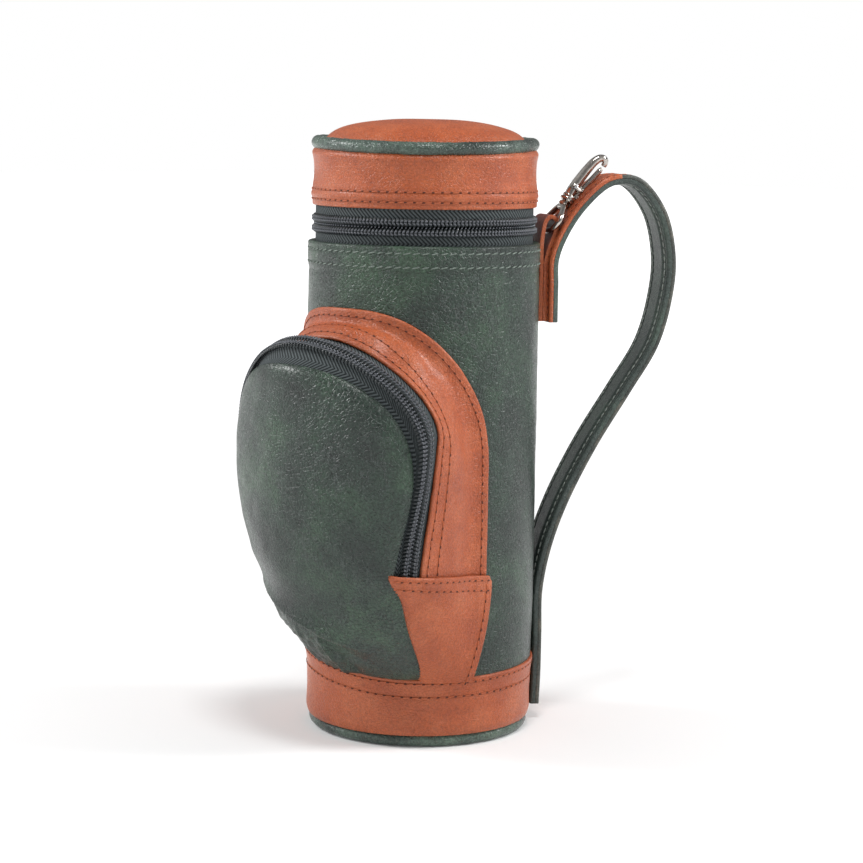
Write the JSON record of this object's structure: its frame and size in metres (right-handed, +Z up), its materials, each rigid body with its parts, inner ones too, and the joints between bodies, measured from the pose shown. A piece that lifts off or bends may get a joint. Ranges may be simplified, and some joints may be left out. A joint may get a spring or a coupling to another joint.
{
  "type": "golf-bag-shaped cigar case",
  "caption": "Stiff leather tube with a zipped hinged lid, a bulging zipped pouch, a carry strap, a swivel snap hook and a cedar disc in its base.",
  "frame": {"origin": "centre of the base, on the surface it stands on", "axes": "+Z up along the tube; the pouch faces -Y; the strap leaves the tube between +X and +Y"},
  "size_m": [0.0954, 0.1378, 0.2002],
  "materials": {
    "green_leather": "fine-grained full-grain leather, satin",
    "tan_leather": "smooth vegetable-tanned leather, satin",
    "lining": "thin glued-in lining cloth",
    "stiffener": "stiff fibre board, hidden",
    "padding": "felt padding, hidden",
    "piping_cord": "twisted cotton cord, hidden",
    "zip_tape": "herringbone woven polyester tape",
    "zip_coil": "moulded nylon coil",
    "nickel": "polished nickel plate",
    "spring_steel": "bright spring wire",
    "cedar": "planed Spanish cedar, unfinished"
  },
  "bodies": {
    "case": {"body_sleeve": "green_leather", "body_core": "stiffener", "body_lining": "lining", "bottom_band": "tan_leather", "base_piping": "green_leather", "base_piping_cord": "piping_cord", "base_panel": "green_leather", "base_board": "stiffener", "base_lining": "lining", "cedar_block": "cedar", "body_zip_tape": "zip_tape", "body_zip_coil": "zip_coil", "hinge_lower": "green_leather", "body_zip_stops": "nickel", "pocket_gusset": "tan_leather", "pocket_panel_lower": "green_leather", "pocket_patch_right": "tan_leather", "pocket_patch_left": "tan_leather", "pocket_zip_tape_inner": "zip_tape", "pocket_zip_coil_inner": "zip_coil", "strap_outer": "tan_leather", "strap_inner": "green_leather", "hook_loop": "tan_leather"},
    "lid": {"lid_zip_tape": "zip_tape", "lid_zip_coil": "zip_coil", "hinge_upper": "green_leather", "lid_zip_stops": "nickel", "lid_band": "tan_leather", "lid_core": "stiffener", "lid_board": "stiffener", "lid_lining": "lining", "lid_piping": "green_leather", "lid_piping_cord": "piping_cord", "lid_top_panel": "tan_leather", "lid_pad": "padding"},
    "lid_slider": {"zip_slider": "nickel"},
    "lid_pull": {"zip_pull": "nickel"},
    "pocket_flap": {"pocket_flap_panel": "green_leather", "pocket_zip_tape_outer": "zip_tape", "pocket_zip_coil_outer": "zip_coil"},
    "pocket_slider": {"pocket_slider": "nickel"},
    "pocket_pull": {"pocket_pull": "nickel"},
    "eye": {"hook_eye": "nickel"},
    "snap": {"hook_body": "nickel", "gate_pin": "nickel", "gate_spring": "spring_steel"},
    "gate": {"hook_gate": "nickel"}
  },
  "joints": [
    {"name": "lid_hinge", "type": "hinge", "parent": "case", "child": "lid", "pos_m": [-0.0307, 0.01993, 0.167], "axis": [-0.5446, -0.8387, 0], "range_deg": [0, 110]},
    {"name": "lid_zip_travel", "type": "hinge", "parent": "case", "child": "lid_slider", "pos_m": [0, 0, 0.167], "axis": [0, 0, 1], "range_deg": [0, 200]},
    {"name": "lid_pull_swing", "type": "hinge", "parent": "lid_slider", "child": "lid_pull", "pos_m": [-0.0379, -0.00875, 0.1658], "axis": [-0.225, 0.9744, 0], "range_deg": [0, 100]},
    {"name": "pocket_open", "type": "hinge", "parent": "case", "child": "pocket_flap", "pos_m": [0, -0.0562, 0.05645], "axis": [1, 0, 0], "range_deg": [0, 50]},
    {"name": "pocket_zip_travel", "type": "slide", "parent": "case", "child": "pocket_slider", "axis": [0.0851, -0.075, -0.9935], "range_m": [0, 0.018]},
    {"name": "pocket_pull_swing", "type": "hinge", "parent": "pocket_slider", "child": "pocket_pull", "pos_m": [-0.04023, -0.04142, 0.08938], "axis": [0, 1, 0], "range_deg": [0, 100]},
    {"name": "eye_swing", "type": "hinge", "parent": "case", "child": "eye", "pos_m": [0.02249, 0.03464, 0.1683], "axis": [0.8387, -0.5446, 0], "range_deg": [0, 20]},
    {"name": "hook_swivel", "type": "hinge", "parent": "eye", "child": "snap", "pos_m": [0.02249, 0.03464, 0.1683], "axis": [0.3851, 0.593, 0.7071], "range_deg": [-10, 10]},
    {"name": "hook_gate_swing", "type": "hinge", "parent": "snap", "child": "gate", "pos_m": [0.0302, 0.04228, 0.17891], "axis": [-0.3851, -0.593, 0.7071], "range_deg": [0, 28], "stiffness_Nm_per_rad": 0.004, "springref_deg": -20.05}
  ]
}
